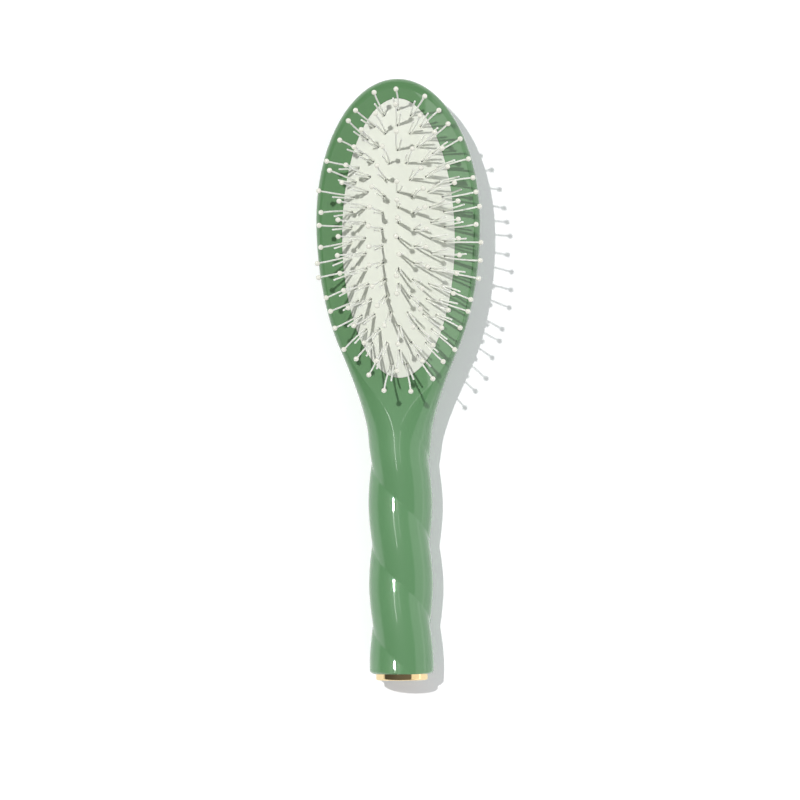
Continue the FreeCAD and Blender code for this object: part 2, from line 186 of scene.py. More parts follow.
class NodeSheet:
    """Node tree of a material or of the world."""

    def __init__(self, owner: Union[bpy.types.Material, bpy.types.World]) -> None:
        """Clears the owner's tree and keeps it.

        Args:
            owner: the material or the world.
        """
        owner.use_nodes = True
        self.tree = owner.node_tree
        self.tree.nodes.clear()

    def node(
        self,
        kind: str,
        settings: Mapping[str, Any] | None = None,
        inputs: Mapping[Any, Any] | None = None,
    ) -> bpy.types.Node:
        """Adds one node.

        Args:
            kind: the node's type.
            settings: its properties, which are set first.
            inputs: values or signals of its sockets, by name or number.

        Returns:
            The new node.
        """
        made = self.tree.nodes.new(kind)
        for name, value in (settings or {}).items():
            setattr(made, name, value)
        for name, value in (inputs or {}).items():
            if isinstance(value, Signal):
                self.tree.links.new(value.socket, made.inputs[name])
            else:
                made.inputs[name].default_value = value
        return made

    def signal(self, node: bpy.types.Node, output: Union[str, int] = 0) -> Signal:
        """One output of a node as a signal."""
        return Signal(self, node.outputs[output])

    def place(self) -> Signal:
        """Object coordinates, in metres."""
        return self.signal(self.node("ShaderNodeTexCoord"), "Object")

    def axes(self, place: Signal) -> list[Signal]:
        """Coordinates X, Y and Z of a place."""
        node = self.node("ShaderNodeSeparateXYZ", None, {0: place})
        return [self.signal(node, name) for name in "XYZ"]

    def noise(self, grain: float, detail: float = 2.0) -> Signal:
        """Noise from 0 to 1 over the piece, in patches of a grain in metres, with finer layers."""
        inputs = {"Vector": self.place(), "Scale": 1 / grain, "Detail": detail}
        return self.signal(self.node("ShaderNodeTexNoise", None, inputs))

    def mix(self, factor: Value, first: Any, second: Any) -> Signal:
        """Mixes two colours by a factor."""
        inputs = {"Factor": factor, MIX_FIRST: first, MIX_SECOND: second}
        return self.signal(self.node("ShaderNodeMix", {"data_type": "RGBA"}, inputs), MIX_RESULT)

    def ease(self, value: Signal, start: float, end: float) -> Signal:
        """Eases from 0 to 1 while a value goes from start to end."""
        inputs = {"Value": value, "From Min": start, "From Max": end}
        return self.signal(self.node("ShaderNodeMapRange", {"interpolation_type": "SMOOTHSTEP"}, inputs))

    def bump(self, height: Signal, distance: float, strength: float) -> Signal:
        """Normal from a height, of which 1 stands for a distance in metres, and its strength."""
        inputs = {"Height": height, "Distance": distance, "Strength": strength}
        return self.signal(self.node("ShaderNodeBump", None, inputs), "Normal")

    def choose(self, factor: Signal, first: bpy.types.Node, second: bpy.types.Node) -> bpy.types.Node:
        """Mixes two shaders by a factor."""
        inputs = {0: factor, 1: self.signal(first), 2: self.signal(second)}
        return self.node("ShaderNodeMixShader", None, inputs)

    def surface(self, shader: bpy.types.Node, kind: str = "ShaderNodeOutputMaterial") -> None:
        """Ends the tree in a shader."""
        self.node(kind, None, {"Surface": self.signal(shader)})


class Finish:
    """A finish that dresses pieces in one shared material."""

    name: str

    def principled(self, sheet: NodeSheet) -> dict[str, Any]:
        """Inputs of the finish's shader."""
        raise NotImplementedError

    def shader(self, sheet: NodeSheet) -> bpy.types.Node:
        """The finish's last shader node."""
        return sheet.node("ShaderNodeBsdfPrincipled", None, self.principled(sheet))

    def material(self) -> bpy.types.Material:
        """Makes the finish's material the first time that it is asked for.

        Returns:
            The material.
        """
        found = bpy.data.materials.get(self.name)
        if found:
            return found
        made = bpy.data.materials.new(self.name)
        sheet = NodeSheet(made)
        sheet.surface(self.shader(sheet))
        return made

    def dress(self, piece: bpy.types.Object) -> None:
        """Puts the finish on a whole piece."""
        piece.data.materials.clear()
        piece.data.materials.append(self.material())


# Grains, heights and depths of the finishes are in metres
@dataclass(frozen=True)
class GreenLacquer(Finish):
    """High-gloss green lacquer under a clear top coat."""

    name: str = "green_lacquer"
    pale: Colour = srgb(101, 149, 101)
    # deep is the darker tone of the random clouds and also the head's painted shade, standing in for the head
    # getting less light than the grip
    deep: Colour = srgb(87, 132, 83)
    head_shade_start: float = -0.02
    head_shade_full: float = 0.02
    head_shade_share: float = 0.8
    cloud_share: float = 0.2
    cloud_grain: float = 0.06
    haze_grain: float = 0.0075
    haze_detail: float = 4.0
    roughness: float = 0.42
    roughness_range: float = 0.1
    peel_grain: float = 0.0016
    peel_height: float = 0.00003
    peel_strength: float = 0.15
    specular: float = 0.25
    coat_roughness: float = 0.015

    def principled(self, sheet: NodeSheet) -> dict[str, Any]:
        """Two close greens in soft clouds, the deeper one also painted on the head as painted shade, with a
        faint peel in the lacquer.

        Args:
            sheet: the sheet that the nodes go on.

        Returns:
            Inputs of the lacquer's shader.
        """
        along = sheet.axes(sheet.place())[1]
        # Painted shade: the head is darkened towards deep, in place of the lower light that falls there
        head = sheet.ease(along, self.head_shade_start, self.head_shade_full)
        depth = self.head_shade_share * head + self.cloud_share * sheet.noise(self.cloud_grain)
        haze = sheet.noise(self.haze_grain, self.haze_detail)
        return {
            "Base Color": sheet.mix(depth, self.pale, self.deep),
            "Roughness": self.roughness + self.roughness_range * haze,
            "Normal": sheet.bump(sheet.noise(self.peel_grain), self.peel_height, self.peel_strength),
            "Specular IOR Level": self.specular,
            "Coat Weight": 1.0,
            "Coat Roughness": self.coat_roughness,
        }


@dataclass(frozen=True)
class CreamRubber(Finish):
    """Smooth cream rubber with a fine dry grain."""

    name: str = "cream_rubber"
    pale: Colour = srgb(226, 229, 217)
    deep: Colour = srgb(221, 224, 211)
    mottle_grain: float = 0.012
    skin_grain: float = 0.0004
    skin_detail: float = 3.0
    skin_height: float = 0.00006
    skin_strength: float = 0.25
    roughness: float = 0.55
    roughness_range: float = 0.15
    specular: float = 0.4

    def principled(self, sheet: NodeSheet) -> dict[str, Any]:
        """Two close creams, with a fine grain in the skin.

        Args:
            sheet: the sheet that the nodes go on.

        Returns:
            Inputs of the rubber's shader.
        """
        skin = sheet.noise(self.skin_grain, self.skin_detail)
        return {
            "Base Color": sheet.mix(sheet.noise(self.mottle_grain), self.deep, self.pale),
            "Roughness": self.roughness + self.roughness_range * skin,
            "Normal": sheet.bump(skin, self.skin_height, self.skin_strength),
            "Specular IOR Level": self.specular,
        }


@dataclass(frozen=True)
class CreamNylon(Finish):
    """Drawn cream nylon that light scatters in."""

    name: str = "cream_nylon"
    pale: Colour = srgb(244, 245, 232)
    deep: Colour = srgb(237, 238, 223)
    streak_grain: float = 0.003
    roughness: float = 0.5
    roughness_range: float = 0.12
    specular: float = 0.25
    scatter_depth: float = 0.0015

    def principled(self, sheet: NodeSheet) -> dict[str, Any]:
        """Two close creams that change along the filament.

        Args:
            sheet: the sheet that the nodes go on.

        Returns:
            Inputs of the nylon's shader.
        """
        streak = sheet.noise(self.streak_grain)
        return {
            "Base Color": sheet.mix(streak, self.deep, self.pale),
            "Roughness": self.roughness + self.roughness_range * streak,
            "Specular IOR Level": self.specular,
            "Subsurface Weight": 1.0,
            "Subsurface Radius": (1.0, 1.0, 1.0),
            "Subsurface Scale": self.scatter_depth,
        }


@dataclass(frozen=True)
class CreamBall(Finish):
    """Glossy cream resin that the filaments' ends are dipped in."""

    name: str = "cream_ball_resin"
    pale: Colour = srgb(241, 241, 227)
    deep: Colour = srgb(234, 233, 217)
    blush_grain: float = 0.006
    roughness: float = 0.2
    roughness_range: float = 0.1
    coat_weight: float = 0.5
    coat_roughness: float = 0.08

    def principled(self, sheet: NodeSheet) -> dict[str, Any]:
        """Two close creams that differ from ball to ball.

        Args:
            sheet: the sheet that the nodes go on.

        Returns:
            Inputs of the resin's shader.
        """
        blush = sheet.noise(self.blush_grain)
        return {
            "Base Color": sheet.mix(blush, self.deep, self.pale),
            "Roughness": self.roughness + self.roughness_range * blush,
            "Coat Weight": self.coat_weight,
            "Coat Roughness": self.coat_roughness,
        }


@dataclass(frozen=True)
class PolishedBrass(Finish):
    """Polished pale brass, turned on a lathe."""

    name: str = "polished_brass"
    pale: Colour = srgb(243, 222, 176)
    deep: Colour = srgb(226, 196, 138)
    tarnish_grain: float = 0.008
    tarnish_detail: float = 3.0
    roughness: float = 0.06
    roughness_range: float = 0.06
    axis_height: float = 0.01206
    turning_pitch: float = 0.00035
    turning_height: float = 0.000004
    turning_strength: float = 0.2

    def principled(self, sheet: NodeSheet) -> dict[str, Any]:
        """Two close golds, with rings about the axis from the turning.

        Args:
            sheet: the sheet that the nodes go on.

        Returns:
            Inputs of the brass's shader.
        """
        centring = {"Vector": sheet.place(), "Location": (0, 0, -self.axis_height)}
        centred = sheet.signal(sheet.node("ShaderNodeMapping", None, centring))
        across, _, up = sheet.axes(centred)
        phase = (across * across + up * up) ** 0.5 * (math.tau / self.turning_pitch)
        rings = sheet.signal(sheet.node("ShaderNodeMath", {"operation": "SINE"}, {0: phase}))
        tarnish = sheet.noise(self.tarnish_grain, self.tarnish_detail)
        return {
            "Base Color": sheet.mix(tarnish, self.deep, self.pale),
            "Metallic": 1.0,
            "Roughness": self.roughness + self.roughness_range * tarnish,
            "Normal": sheet.bump(rings, self.turning_height, self.turning_strength),
        }


@dataclass(frozen=True)
class WhiteTable(Finish):
    """White table top that shows white where nothing shades it."""

    name: str = "white_table"
    dull: Colour = (0.89, 0.89, 0.89, 1.0)
    bright: Colour = (0.91, 0.91, 0.91, 1.0)
    grain: float = 0.02
    glow: float = 0.22

    def shader(self, sheet: NodeSheet) -> bpy.types.Node:
        """Matt white, with a little glow where it is seen or mirrored.

        Args:
            sheet: the sheet that the nodes go on.

        Returns:
            The last shader node.
        """
        tone = sheet.mix(sheet.noise(self.grain), self.dull, self.bright)
        paper = sheet.node("ShaderNodeBsdfDiffuse", None, {"Color": tone})
        path = sheet.node("ShaderNodeLightPath")
        seen = sheet.signal(path, "Is Camera Ray") + sheet.signal(path, "Is Glossy Ray")
        glow = sheet.node("ShaderNodeEmission", None, {"Color": WHITE, "Strength": self.glow * seen})
        return sheet.node("ShaderNodeAddShader", None, {0: sheet.signal(paper), 1: sheet.signal(glow)})


def wrap_sheet(
    mesh: bmesh.types.BMesh, rows: Sequence[Sequence[Vector]]
) -> list[list[bmesh.types.BMVert]]:
    """Lays a grid through rows of points.

    Args:
        mesh: the mesh that the grid goes into.
        rows: as many points in each row; a row whose ends meet closes when doubles are merged.

    Returns:
        The grid's vertices, row by row.
    """
    columns = len(rows[0])
    made = bmesh.ops.create_grid(mesh, x_segments=columns - 1, y_segments=len(rows) - 1, size=1.0)
    verts = made["verts"]
    for vert, point in zip(verts, itertools.chain.from_iterable(rows), strict=True):
        vert.co = point
    return [verts[start:start + columns] for start in range(0, len(verts), columns)]


def push_out(mesh: bmesh.types.BMesh, travel: Vector) -> list[bmesh.types.BMVert]:
    """Extrudes a mesh of one flat face into a block.

    Args:
        mesh: the mesh.
        travel: how far and which way the face is pushed.

    Returns:
        The vertices of the block's far end.
    """
    made = bmesh.ops.extrude_face_region(mesh, geom=mesh.faces[:])["geom"]
    far_verts = [item for item in made if isinstance(item, bmesh.types.BMVert)]
    bmesh.ops.translate(mesh, vec=travel, verts=far_verts)
    return far_verts


def finish_piece(mesh: bmesh.types.BMesh, name: str, sharp: float = SHARP_ANGLE) -> bpy.types.Object:
    """Closes a mesh in millimetres, scales it to metres and makes it a smooth object at the origin.

    Args:
        mesh: the mesh, which is freed.
        name: the object's name.
        sharp: angle above which an edge shows as sharp.

    Returns:
        The new object.
    """
    bmesh.ops.remove_doubles(mesh, verts=mesh.verts, dist=MERGE_DISTANCE)
    bmesh.ops.dissolve_degenerate(mesh, edges=mesh.edges, dist=MERGE_DISTANCE)
    open_edges = [edge for edge in mesh.edges if edge.is_boundary]
    if open_edges:
        bmesh.ops.holes_fill(mesh, edges=open_edges, sides=0)
    bmesh.ops.recalc_face_normals(mesh, faces=mesh.faces)
    bmesh.ops.scale(mesh, vec=Vector((MM, MM, MM)), verts=mesh.verts)
    data = bpy.data.meshes.new(name)
    mesh.to_mesh(data)
    mesh.free()
    shade(data, sharp)
    piece = bpy.data.objects.new(name, data)
    show(piece)
    return piece


def shade(data: bpy.types.Mesh, sharp: float = SHARP_ANGLE) -> None:
    """Shades a mesh smooth but for edges above the sharp angle."""
    data.shade_smooth()
    data.set_sharp_from_angle(angle=sharp)


def cut_away(piece: bpy.types.Object, cutter: bpy.types.Object) -> None:
    """Cuts one closed object out of another and deletes the cutter.

    Args:
        piece: the object that is cut.
        cutter: the object that is cut away.
    """
    cut = piece.modifiers.new("cut", "BOOLEAN")
    cut.operation = "DIFFERENCE"
    cut.solver = "EXACT"
    cut.object = cutter
    graph = bpy.context.evaluated_depsgraph_get()
    data = bpy.data.meshes.new_from_object(piece.evaluated_get(graph))
    piece.modifiers.clear()
    old = piece.data
    piece.data = data
    bpy.data.meshes.remove(old)
    bpy.data.objects.remove(cutter)
    data.name = piece.name
    shade(data)


def seat(piece: bpy.types.Object, body: Body, slot: Slot, finish: Finish, *nodes: str) -> bpy.types.Object:
    """Dresses a piece and lets it ride on a body in place of CAD nodes.

    Args:
        piece: the finished object.
        body: the body that it moves with.
        slot: the record's slot for its finish; not used.
        finish: what it is dressed in.
        nodes: the CAD nodes that it stands for.

    Returns:
        The same object.
    """
    finish.dress(piece)
    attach(piece, body.value)
    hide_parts(*nodes)
    LOG.info("%s: %d faces on %s", piece.name, len(piece.data.polygons), body.value)
    return piece


@dataclass
class Cushion:
    """Domed rubber shell in the head's oval opening."""

    rim_height: float = RIM_HEIGHT
    crown: float = 4.2
    dome_semi_axis: float = 14.0
    half_width: float = 21.06
    half_length: float = 52.3
    wall: float = 1.8
    skirt_depth: float = 3.0
    clearance: float = 0.05
    fill: float = 0.9
    press_travel: float = 3.0
    hole_half_length: float = 0.8
    hole_half_width: float = 0.42
    hole_flare: float = 0.67
    hole_top: float = 0.8
    hole_depth: float = 3.0
    hole_turns: int = 10
    dome_rings: int = 30
    turns: int = 160

    def __post_init__(self) -> None:
        """Finds the cushion's middle along the brush from the frame, and the dome's spread."""
        low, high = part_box("cushion")
        self.middle_y = (low.y + high.y) / 2 / MM
        self.spread = math.sqrt(1 - (1 - self.crown / self.dome_semi_axis) ** 2)

    def dome_height(self, share: float, inset: float = 0.0) -> float:
        """Height above the table at a share of the way out, an inset inside the outer face."""
        rise = (self.dome_semi_axis - inset) * math.sqrt(1 - (share * self.spread) ** 2)
        return self.rim_height + self.crown - self.dome_semi_axis + rise

    def spot(self, across: float, along: float) -> Vector:
        """Point of the outer face at a distance across and along from the cushion's middle."""
        share = math.hypot(across / self.half_width, along / self.half_length)
        return Vector((across, self.middle_y + along, self.dome_height(share)))

    def build(self, tufts: Sequence["Tuft"]) -> bpy.types.Object:
        """Models the cushion and holes it for the tufts.

        Args:
            tufts: all tufts that pass through the rubber.

        Returns:
            The cushion.
        """
        piece = self._shell()
        cut_away(piece, self._hole_cutter(tufts))
        seat(piece, Body.BRUSH, Slot.RUBBER, CreamRubber(), "cushion")
        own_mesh(piece)
        return piece

    def _shell(self) -> bpy.types.Object:
        """Turns the shell from its profile and stretches it to the oval.

        Returns:
            The shell without its holes.
        """
        edge = self.half_width - self.clearance
        inner_edge = edge - self.wall
        bottom = self.rim_height - self.skirt_depth
        profile = [(edge * share, self.dome_height(share)) for share in steps(0, 1, self.dome_rings)]
        profile += [(edge, bottom), (inner_edge, bottom)]
        profile += [
            (inner_edge * share, self.dome_height(share, self.wall))
            for share in steps(1, 0, self.dome_rings // 2)
        ]
        mesh = bmesh.new()
        verts = [mesh.verts.new((radius, 0, height)) for radius, height in profile]
        edges = [mesh.edges.new(pair) for pair in zip(verts, verts[1:])]
        bmesh.ops.spin(
            mesh,
            geom=verts + edges,
            cent=Vector(),
            axis=UP,
            dvec=Vector(),
            angle=math.tau,
            steps=self.turns,
            use_merge=True,
        )
        bmesh.ops.scale(mesh, vec=Vector((1, self.half_length / self.half_width, 1)), verts=mesh.verts)
        bmesh.ops.translate(mesh, vec=Vector((0, self.middle_y, 0)), verts=mesh.verts)
        return finish_piece(mesh, "rubber_cushion")

    def _hole_cutter(self, tufts: Sequence["Tuft"]) -> bpy.types.Object:
        """Makes an oval peg for every hole, wider below, where the tuft moves in the rubber.

        Args:
            tufts: the tufts that pass through the holes.

        Returns:
            One object with all the pegs.
        """
        mesh = bmesh.new()
        middle = Matrix.Translation((0, 0, (self.hole_top - self.hole_depth) / 2))
        oval = Matrix.Diagonal((self.hole_half_length, self.hole_half_width, 1, 1))
        for tuft in tufts:
            bmesh.ops.create_cone(
                mesh,
                cap_ends=True,
                segments=self.hole_turns,
                radius1=1 + self.hole_flare * self.hole_depth,
                radius2=1 - self.hole_flare * self.hole_top,
                depth=self.hole_top + self.hole_depth,
                matrix=Matrix.Translation(tuft.foot) @ tuft.turn() @ middle @ oval,
            )
        return finish_piece(mesh, "hole_cutter")


@dataclass
class BrushBody:
    """Oval head that runs through the neck into a grip of two twisted strands."""

    crown_length: float = 53.5
    taper_run: float = 47.0
    taper_semi_axis: float = 68.5
    neck_length: float = 44.0
    equator_height: float = 17.4
    rim_height: float = RIM_HEIGHT
    front_swell: float = 2.0
    front_fullness: float = 4.5
    back_fullness: float = 2.2
    form_start: float = 6.0
    form_run: float = 44.0
    strand_radius: float = 10.77
    strand_run_in: float = 15.0
    twist_pitch: float = 60.7
    twist_start: float = 24.2
    twist_run_in: float = 16.0
    butt_round: float = 1.7
    groove_softness: float = 0.03
    neck_fill: float = 0.38
    neck_fill_middle: float = 11.5
    neck_fill_run: float = 7.5
    flat_start: float = 13.0
    chamber_depth: float = 8.5
    rim_edge_angle: float = 0.001
    free_edge_angle: float = math.radians(45)
    groove_crowding: float = 1.3
    edge_follow_start: float = 20.0
    edge_follow_run: float = 8.0
    edge_halvings: int = 40
    front_columns: int = 20
    back_columns: int = 44
    grip_rows: int = 78
    neck_rows: int = 48
    taper_rows: int = 32
    butt_rows: int = 8
    crown_turns: int = 112
    chamber_turns: int = 192

    def __post_init__(self) -> None:
        """Takes the body's reach and its grip's thickness from the frame."""
        low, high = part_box("brush_body")
        self.half_breadth = (high.x - low.x) / 2 / MM
        self.widest_y = high.y / MM - self.crown_length
        self.taper_end_y = self.widest_y - self.taper_run
        self.neck_end_y = self.taper_end_y - self.neck_length
        self.butt_y = low.y / MM
        self.axis_z = high.z / 2 / MM
        self.strand_offset = self.axis_z - self.strand_radius

    def half_width(self, y: float) -> float:
        """Half-width without the strands: part of an ellipse, then a hollow curve into the neck.

        Args:
            y: place along the brush.

        Returns:
            The half-width in millimetres.
        """
        run = (self.widest_y - y) / self.taper_semi_axis
        if y >= self.taper_end_y:
            return self.half_breadth * math.sqrt(1 - run ** 2)
        end_run = self.taper_run / self.taper_semi_axis
        end_width = self.half_breadth * math.sqrt(1 - end_run ** 2)
        end_slope = self.half_breadth * end_run / math.sqrt(1 - end_run ** 2) / self.taper_semi_axis
        share = max((y - self.neck_end_y) / self.neck_length, 0.0)
        rise = smooth(share)
        pull = (share ** 3 - share ** 2) * self.neck_length * end_slope
        return self.strand_radius * (1 - rise) + end_width * rise + pull

    def twist(self, y: float) -> float:
        """Angle of the front groove about the grip's axis, from the front towards +X.

        Args:
            y: place along the brush.

        Returns:
            The angle in radians, with an even gain of turn where the twist begins.
        """
        run = self.neck_end_y + self.twist_start - y
        if run <= 0:
            return 0.0
        turned = run - self.twist_run_in / 2
        if run < self.twist_run_in:
            turned = run * run / (2 * self.twist_run_in)
        return math.tau * turned / self.twist_pitch

    def section_point(self, y: float, angle: float, limit: float = math.inf) -> Vector:
        """Point of the surface.

        Args:
            y: place along the brush.
            angle: angle about the section's middle, from the front.
            limit: greatest distance from the axis, for the butt's rounding.

        Returns:
            The point in millimetres.
        """
        form = smooth((y - self.neck_end_y - self.form_start) / self.form_run)
        run_in = smooth((self.neck_end_y + self.strand_run_in - y) / self.strand_run_in)
        parted = self.strand_offset * run_in
        radius = self.strand_radius
        middle = self.axis_z + form * (self.equator_height - self.axis_z)
        front_top = self.rim_height + self.front_swell - self.equator_height
        off_middle = (y - self.neck_end_y - self.neck_fill_middle) / self.neck_fill_run
        front = radius + form * (front_top - radius) + self.neck_fill * math.exp(-off_middle ** 2)
        back = radius + form * (self.equator_height - radius)
        across, up = math.sin(angle), math.cos(angle)
        power = 2 + form * ((self.front_fullness if up > 0 else self.back_fullness) - 2)
        reach = (abs(across) ** power + abs(up) ** power) ** (-1 / power)
        off_groove = math.sin(angle - self.twist(y))
        spread = parted * math.hypot(off_groove, self.groove_softness)
        strand = spread + math.sqrt(radius ** 2 - parted ** 2 * (1 - off_groove ** 2))
        reach *= min(strand, limit) / radius
        height = middle + (front if up > 0 else back) * reach * up
        if y > self.neck_end_y + self.flat_start:
            height = min(height, self.rim_height)
        return Vector((self.half_width(y) * reach * across, y, height))

    def edge_angle(self, y: float) -> float:
        """Angle at which the section meets the flat front, or the free angle where it doesn't.

        Args:
            y: place along the brush.

        Returns:
            The angle about the section's middle, from the front.
        """
        low, high = 0.0, math.pi / 2
        for _ in range(self.edge_halvings):
            middle = (low + high) / 2
            if self.section_point(y, middle).z < self.rim_height - MERGE_DISTANCE:
                high = middle
            else:
                low = middle
        follow = smooth((y - self.neck_end_y - self.edge_follow_start) / self.edge_follow_run)
        return self.free_edge_angle + follow * (low - self.free_edge_angle)

    def half_angles(self, y: float) -> list[float]:
        """Angles of one half section from the groove in front to the one behind.

        Args:
            y: place along the brush.

        Returns:
            The angles, which crowd at the grooves and close up at the rim's edge.
        """
        edge = self.edge_angle(y)
        front_end, back_start = edge - self.rim_edge_angle, edge + self.rim_edge_angle
        front = [front_end * share ** self.groove_crowding for share in steps(0, 1, self.front_columns)]
        back = [
            math.pi - (math.pi - back_start) * share ** self.groove_crowding
            for share in steps(1, 0, self.back_columns)
        ]
        return front + [edge] + back

    def section(self, y: float, limit: float = math.inf) -> list[Vector]:
        """Closed ring of points round the section, from the front groove by +X.

        Args:
            y: place along the brush.
            limit: greatest distance from the axis.

        Returns:
            The points, of which the last meets the first.
        """
        half = self.half_angles(y)
        round_angles = half + [math.tau - angle for angle in reversed(half[:-1])]
        return [self.section_point(y, self.twist(y) + angle, limit) for angle in round_angles]

    def rows(self) -> list[list[Vector]]:
        """Sections from the rounded butt to the widest part of the head.

        Returns:
            The sections' rings of points.
        """
        made = []
        for angle in steps(0, math.pi / 2, self.butt_rows):
            limit = self.axis_z - self.butt_round * (1 - math.sin(angle))
            made.append(self.section(self.butt_y + self.butt_round * (1 - math.cos(angle)), limit))
        places = steps(self.butt_y + self.butt_round, self.neck_end_y, self.grip_rows)[1:]
        places += steps(self.neck_end_y, self.taper_end_y, self.neck_rows)[1:]
        places += steps(self.taper_end_y, self.widest_y, self.taper_rows)[1:]
        return made + [self.section(y) for y in places]

    def build(self, cushion: Cushion) -> bpy.types.Object:
        """Models the body, turns the head's crown from its widest section and hollows the head.

        Args:
            cushion: the cushion that the hollow is for.

        Returns:
            The body.
        """
        mesh = bmesh.new()
        widest = wrap_sheet(mesh, self.rows())[-1]
        half = widest[:len(self.half_angles(self.widest_y))]
        edges = [mesh.edges.get(pair) for pair in zip(half, half[1:])]
        before = set(mesh.verts)
        bmesh.ops.spin(
            mesh,
            geom=half + edges,
            cent=Vector((0, self.widest_y, 0)),
            axis=UP,
            dvec=Vector(),
            angle=math.pi,
            steps=self.crown_turns,
        )
        bmesh.ops.scale(
            mesh,
            vec=Vector((1, self.crown_length / self.half_breadth, 1)),
            space=Matrix.Translation((0, -self.widest_y, 0)),
            verts=[vert for vert in mesh.verts if vert not in before],
        )
        piece = finish_piece(mesh, "lacquered_body")
        cut_away(piece, self._chamber(cushion))
        return seat(piece, Body.BRUSH, Slot.LACQUER, GreenLacquer(), "brush_body")

    def _chamber(self, cushion: Cushion) -> bpy.types.Object:
        """Makes the oval block that the air chamber is cut with, up past the rim.

        Args:
            cushion: the cushion that closes the chamber.

        Returns:
            The block.
        """
        mesh = bmesh.new()
        made = bmesh.ops.create_circle(mesh, cap_ends=True, segments=self.chamber_turns, radius=1.0)
        bmesh.ops.scale(mesh, vec=Vector((cushion.half_width, cushion.half_length, 1)), verts=made["verts"])
        floor = Vector((0, cushion.middle_y, self.rim_height - self.chamber_depth))
        bmesh.ops.translate(mesh, vec=floor, verts=made["verts"])
        push_out(mesh, UP * 2 * self.chamber_depth)
        return finish_piece(mesh, "chamber_cutter")


@dataclass
class EndCap:
    """Turned disc on the butt."""

    edge_round: float = 0.7
    round_profile: float = 0.5
    round_steps: int = 6
    turns: int = 128

    def build(self) -> bpy.types.Object:
        """Turns the disc and rounds its rim.

        Returns:
            The cap.
        """
        low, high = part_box("end_cap")
        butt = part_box("brush_body")[0].y / MM
        middle = Matrix.Translation((0, butt, (low.z + high.z) / 2 / MM))
        mesh = bmesh.new()
        bmesh.ops.create_circle(
            mesh,
            cap_ends=True,
            segments=self.turns,
            radius=(high.x - low.x) / 2 / MM,
            matrix=middle @ Matrix.Rotation(math.pi / 2, 4, "X"),
        )
        end_verts = push_out(mesh, Vector((0, low.y / MM - butt, 0)))
        end_edges = [edge for edge in mesh.edges if all(vert in end_verts for vert in edge.verts)]
        bmesh.ops.bevel(
            mesh,
            geom=end_edges,
            offset=self.edge_round,
            offset_type="OFFSET",
            affect="EDGES",
            segments=self.round_steps,
            profile=self.round_profile,
            material=-1,
        )
        piece = finish_piece(mesh, "polished_end_cap")
        return seat(piece, Body.BRUSH, Slot.BRASS, PolishedBrass(), "end_cap")


@dataclass(frozen=True)
class TuftSizes:
    """Sizes that all tufts share, and where along its legs a filament has its rings."""

    filament_radius: float = 0.35
    long_leg: float = 21.5
    short_leg: float = 12.4
    leg_pitch: float = 0.84
    leg_spread: float = 1.3
    least_spread_share: float = 0.2
    fold_depth: float = 3.6
    ball_radius: float = 1.0
    ball_sink: float = 0.17
    longest_lean: float = 13.2
    upright_lean: float = 0.6
    bow: float = 0.35
    short_shares: tuple[float, ...] = (1.0, 0.5, 0.0)
    long_shares: tuple[float, ...] = (0.0, 0.35, 0.7, 1.0)
    facets: int = 6
    ball_turns: int = 10
    ball_rings: int = 6


class Tuft:
    """One folded filament with a ball on its long leg."""

    def __init__(self, sizes: TuftSizes, foot: Vector, lean: Vector, rng: random.Random) -> None:
        """Stands the tuft on the cushion.

        Args:
            sizes: the tufts' sizes.
            foot: its place on the cushion's outer face.
            lean: sideways reach of its long leg.
            rng: draws for the tuft's own small differences.
        """
        self.sizes = sizes
        self.foot = foot
        rise = math.sqrt(sizes.long_leg ** 2 - lean.length_squared)
        self.axis = (lean + UP * rise).normalized()
        beside = UP.cross(lean) if abs(lean.x) > sizes.upright_lean else Vector((1, 0, 0))
        self.side = (beside - self.axis * beside.dot(self.axis)).normalized()
        self.normal = self.axis.cross(self.side)
        self.spread = sizes.leg_spread * rng.uniform(sizes.least_spread_share, 1.0)
        self.bow = sizes.bow * rng.uniform(-1, 1)

    def turn(self) -> Matrix:
        """Turn from upright to the tuft's own axes."""
        return Matrix((self.side, self.normal, self.axis)).transposed().to_4x4()

    def long_point(self, height: float) -> Vector:
        """Point of the long leg, which bows slightly above the cushion.

        Args:
            height: distance along the leg from the cushion's face.

        Returns:
            The point in millimetres.
        """
        share = height / self.sizes.long_leg
        lateral = self.bow * 4 * share * (1 - share) if share > 0 else 0.0
        return self.foot - self.side * (self.sizes.leg_pitch / 2 - lateral) + self.axis * height

    def short_point(self, height: float) -> Vector:
        """Point of the short leg at a height along it."""
        lean = self.spread * max(height, 0.0) / self.sizes.short_leg
        return self.foot + self.side * (self.sizes.leg_pitch / 2 + lean) + self.axis * height

    def path(self) -> list[Vector]:
        """Middle line from the short leg's end through the fold to the ball.

        Returns:
            The line's points.
        """
        sizes = self.sizes
        short = [self.short_point(share * sizes.short_leg) for share in sizes.short_shares]
        fold = [self.short_point(-sizes.fold_depth), self.long_point(-sizes.fold_depth)]
        return short + fold + [self.long_point(share * sizes.long_leg) for share in sizes.long_shares]

    def add_filament(self, mesh: bmesh.types.BMesh) -> None:
        """Adds the filament, mitred at its bends.

        Args:
            mesh: the mesh of the row's filaments.
        """
        path = self.path()
        runs = [(after - before).normalized() for before, after in zip(path, path[1:])]
        angles = steps(0, math.tau, self.sizes.facets)
        rows = []
        for index, point in enumerate(path):
            before, after = runs[max(index - 1, 0)], runs[min(index, len(runs) - 1)]
            mitre = (self.normal.cross(before) + self.normal.cross(after)).normalized()
            mitre /= mitre.dot(self.normal.cross(before))
            rows.append([
                point + (self.normal * math.cos(angle) + mitre * math.sin(angle)) * self.sizes.filament_radius
                for angle in angles
            ])
        wrap_sheet(mesh, rows)

    def add_ball(self, mesh: bmesh.types.BMesh) -> None:
        """Adds the ball at the end of the long leg.

        Args:
            mesh: the mesh of the row's balls.
        """
        sizes = self.sizes
        bmesh.ops.create_uvsphere(
            mesh,
            u_segments=sizes.ball_turns,
            v_segments=sizes.ball_rings,
            radius=sizes.ball_radius,
            matrix=Matrix.Translation(self.long_point(sizes.long_leg - sizes.ball_sink)) @ self.turn(),
        )


